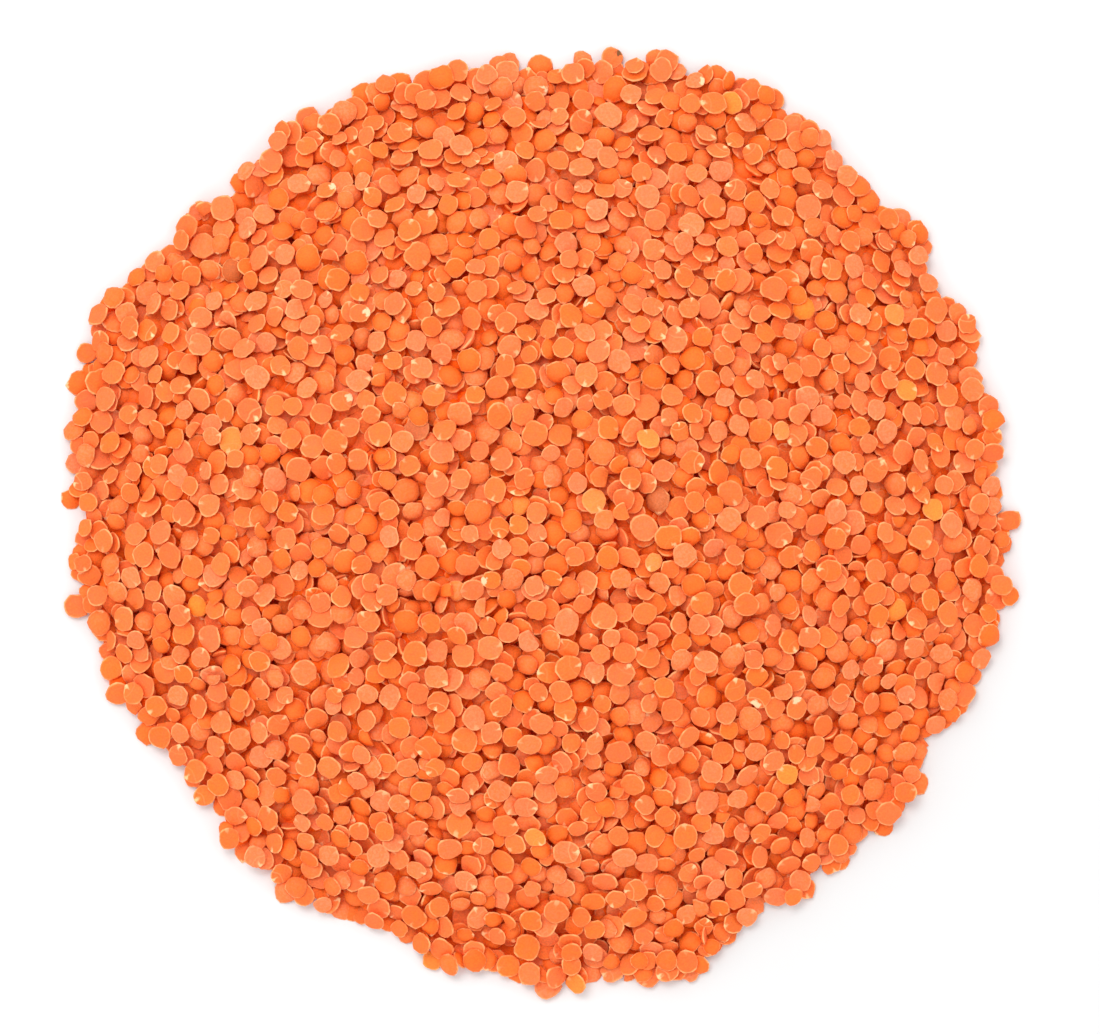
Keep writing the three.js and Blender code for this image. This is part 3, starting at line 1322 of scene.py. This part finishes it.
@dataclass(frozen=True)
class Sorter:
    """Puts each lentil with its kind."""

    middle: Vector
    barely_seen: float = 0.1
    well_seen: float = 0.5
    stain_heading: float = math.radians(28)

    def nearest(self, lentils: Lentils, seen: Array, spots: Sequence[tuple[float, float]]) -> Array:
        """Says which lentils are the nearest to each of some places that show well."""
        place = lentils.place - np.array(self.middle)[:2]
        is_nearest = np.zeros(len(lentils), bool)
        for spot in spots:
            far = np.hypot(*(place - spot).T) + np.where(seen > self.well_seen, 0, np.inf)
            is_nearest[far.argmin()] = True
        return is_nearest

    def sort(self, lentils: Lentils, seen: Array) -> dict[Kind, Lentils]:
        """Sorts the lentils.

        Args:
            lentils: All of them.
            seen: The share of each that shows from above.

        Returns:
            The lentils of each kind.
        """
        broken = np.array([form.is_broken for form in FORMS])[lentils.form]
        chipped = np.array([form.chip > 0 for form in FORMS])[lentils.form]
        notched = np.array([form.notch > 0 for form in FORMS])[lentils.form]
        choices = [(self.nearest(lentils, seen, spots), kind) for kind, spots in PLACES.items()]
        choices += [
            (seen < self.barely_seen, Kind.BETWEEN),
            (lentils.leaning, Kind.LEANING),
            (broken, Kind.BROKEN),
            (chipped, Kind.CHIPPED),
            (notched & lentils.flat_up, Kind.NOTCHED),
            (lentils.flat_up, Kind.FLAT_UP),
        ]
        kinds = list(Kind)
        numbers = [kinds.index(kind) for _, kind in choices]
        number = np.select([fits for fits, _ in choices], numbers, kinds.index(Kind.ROUND_UP))
        members = {kind: lentils.take(number == i) for i, kind in enumerate(kinds) if (number == i).any()}
        members[Kind.STAINED].spin[:] = self.stain_heading
        return members


@dataclass
class Core:
    """The heap's own body under the lentils, which shows only as a dark warm ground in the deepest gaps.

    Round the mound it runs out as a thin skirt, so that no table shows through between the foot's lentils.
    """

    pour: Pour
    middle: Vector
    finish: LentilFinish
    steps_round: int = 150
    rows: int = 64
    relief: float = 0.6
    relief_size: float = 3.6
    skirt_inset: float = 0.4
    skirt_height: float = 0.3

    def build(self) -> bpy.types.Object:
        """Shapes the upper half of a sphere to the mound, and closes it underneath.

        Returns:
            The piece.
        """
        mesh = bmesh.new()
        bmesh.ops.create_uvsphere(mesh, u_segments=self.steps_round, v_segments=self.rows, radius=1)
        cut_away(mesh, (0, 0, 0), (0, 0, -1), dist=1e-5)
        for vert in mesh.verts:
            share = math.hypot(*vert.co.xy)
            turn = np.array([math.atan2(vert.co.y, vert.co.x)])
            radius = share * (float(self.pour.ragged_line(turn)[0]) - self.skirt_inset)
            x, y = radius * math.cos(turn[0]), radius * math.sin(turn[0])
            level = float(self.pour.mound.surface(np.array([x]), np.array([y]))[0]) - self.pour.bed_depth
            bumps = self.relief * noise.noise(Vector((x, y, 0)) / self.relief_size)
            z = 0 if vert.co.z < CLOSE else max(level + bumps - self.relief, self.skirt_height)
            vert.co = (Vector((x, y, z)) - self.middle) * MM
        close_holes(mesh)
        bmesh.ops.recalc_face_normals(mesh, faces=mesh.faces)
        skin = mesh.loops.layers.uv.new("skin")
        for face in mesh.faces:
            face.smooth = len(face.verts) <= 4
            for loop in face.loops:
                loop[skin].uv = (1.6, 0)
        data = bpy.data.meshes.new("heap_core")
        mesh.to_mesh(data)
        mesh.free()
        for name in TONE_NAMES:
            attribute = data.attributes.new(name, "FLOAT", "POINT")
            attribute.data.foreach_set("value", np.full(len(data.vertices), 0.4, np.float32))
        data.materials.append(self.finish.material("heap_core"))
        return in_scene("heap_core", data)


@dataclass
class Studio:
    """The table, the light and the camera, in metres."""

    table_size: float = 12.0
    camera_height: float = 1.2
    view_width: float = 0.2123
    view_middle: tuple[float, float] = (0.00193, 0.00106)
    sensor: float = 36.0
    walls: float = 1.66
    ceiling: float = 0.64
    ceiling_from: float = 0.45
    softbox_place: tuple[float, float, float] = (-0.34, 0.58, 1.4)
    softbox_size: float = 0.7
    softbox_power: float = 11.0
    bounces: int = 12

    def lay_table(self) -> bpy.types.Object:
        """Lays the table top at z = 0."""
        mesh = bmesh.new()
        bmesh.ops.create_grid(mesh, x_segments=8, y_segments=8, size=self.table_size / 2)
        data = bpy.data.meshes.new("table_top")
        mesh.to_mesh(data)
        mesh.free()
        data.materials.append(TableFinish().material())
        return in_scene("table_top", data)

    def light(self) -> None:
        """Lights the heap from all round, less from straight above, and by a weak softbox to one side."""
        scene = bpy.context.scene
        scene.view_settings.view_transform = "Standard"
        scene.cycles.diffuse_bounces = self.bounces
        world = bpy.data.worlds.new("studio")
        world.use_nodes = True
        background = world.node_tree.nodes["Background"]
        tree = world.node_tree
        direction = tree.nodes.new("ShaderNodeTexCoord").outputs["Generated"]
        split = tree.nodes.new("ShaderNodeSeparateXYZ")
        fade = tree.nodes.new("ShaderNodeMapRange")
        fade.interpolation_type = "SMOOTHSTEP"
        fade.inputs["From Min"].default_value = self.ceiling_from
        fade.inputs["To Min"].default_value = self.walls
        fade.inputs["To Max"].default_value = self.ceiling
        tree.links.new(direction, split.inputs["Vector"])
        tree.links.new(split.outputs["Z"], fade.inputs["Value"])
        background.inputs["Color"].default_value = (1, 1, 1, 1)
        tree.links.new(fade.outputs["Result"], background.inputs["Strength"])
        scene.world = world
        lamp = bpy.data.lights.new("softbox", "AREA")
        lamp.shape = "SQUARE"
        lamp.size = self.softbox_size
        lamp.energy = self.softbox_power
        softbox = bpy.data.objects.new("softbox", lamp)
        place = Vector(self.softbox_place)
        aim = (-place).to_track_quat("-Z", "Y").to_matrix().to_4x4()
        softbox.matrix_world = Matrix.Translation(place) @ aim
        scene.collection.objects.link(softbox)

    def set_camera(self) -> None:
        """Sets the camera straight over the heap, looking down."""
        data = bpy.data.cameras.new("camera")
        data.sensor_width = self.sensor
        data.lens = self.sensor * self.camera_height / self.view_width
        camera = bpy.data.objects.new("camera", data)
        camera.location = (*self.view_middle, self.camera_height)
        bpy.context.scene.collection.objects.link(camera)
        bpy.context.scene.camera = camera


def finish_of(kind: Kind) -> LentilFinish:
    """Picks the finish for a kind of lentil.

    Deep between others, a lentil is given a redder, deeper colour. This is painted light, standing in for the
    light that soaks through and bounces between lentils.
    """
    # Painted light: the lentils in the gaps, and the core, get a redder colour for the light that soaks
    # through and bounces there.
    if kind is Kind.BETWEEN:
        return LentilFinish(
            pink=linear(251, 108, 36),
            orange=linear(251, 106, 24),
            round_side=linear(251, 102, 20),
            lightest=1.0,
            rim_strength=0.4,
            flour_strength=0.1,
            specular=0.06,
        )
    if kind is Kind.YELLOW:
        return LentilFinish(
            pink=linear(243, 128, 50), orange=linear(243, 136, 46), round_side=linear(243, 124, 36)
        )
    if kind is Kind.PALE:
        return LentilFinish(patch_strength=0.95)
    if kind is Kind.STAINED:
        return LentilFinish(patch=linear(96, 68, 34), patch_strength=0.9, patch_size=0.3)
    if kind is Kind.DULL:
        return LentilFinish(
            pink=linear(206, 96, 50),
            orange=linear(204, 100, 44),
            round_side=linear(200, 94, 40),
        )
    return LentilFinish()


def show(piece: bpy.types.Object) -> None:
    """Lets a piece stand for the heap's solid, and reports it."""
    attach(piece, "root")
    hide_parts(HEAP_NODE)
    triangles = sum(face.loop_total - 2 for face in piece.data.polygons)
    log.info("%s: %d triangles", piece.name, triangles)


def main() -> None:
    """Builds the heap, the table and the light."""
    logging.basicConfig(level=logging.INFO, format="%(message)s")
    studio = Studio()
    studio.set_camera()
    studio.light()
    studio.lay_table()

    mound = Mound()
    middle = mound.middle()
    pour = Pour(mound)
    lentils = pour.run()
    log.info("%d lentils poured", len(lentils))
    # The core takes the gap lentils' finish, with its painted redder tint.
    show(Core(pour, middle, finish_of(Kind.BETWEEN)).build())
    sorted_lentils = Sorter(middle).sort(lentils, pour.share_seen(lentils))
    for number, (kind, members) in enumerate(sorted_lentils.items()):
        log.info("%s: %d lentils", kind.value, len(members))
        seed = FIRST_SEED + SEED_STEP * number
        show(LentilPiece(kind, members, middle, finish_of(kind), seed=seed).build())


if __name__ == "__main__":
    main()
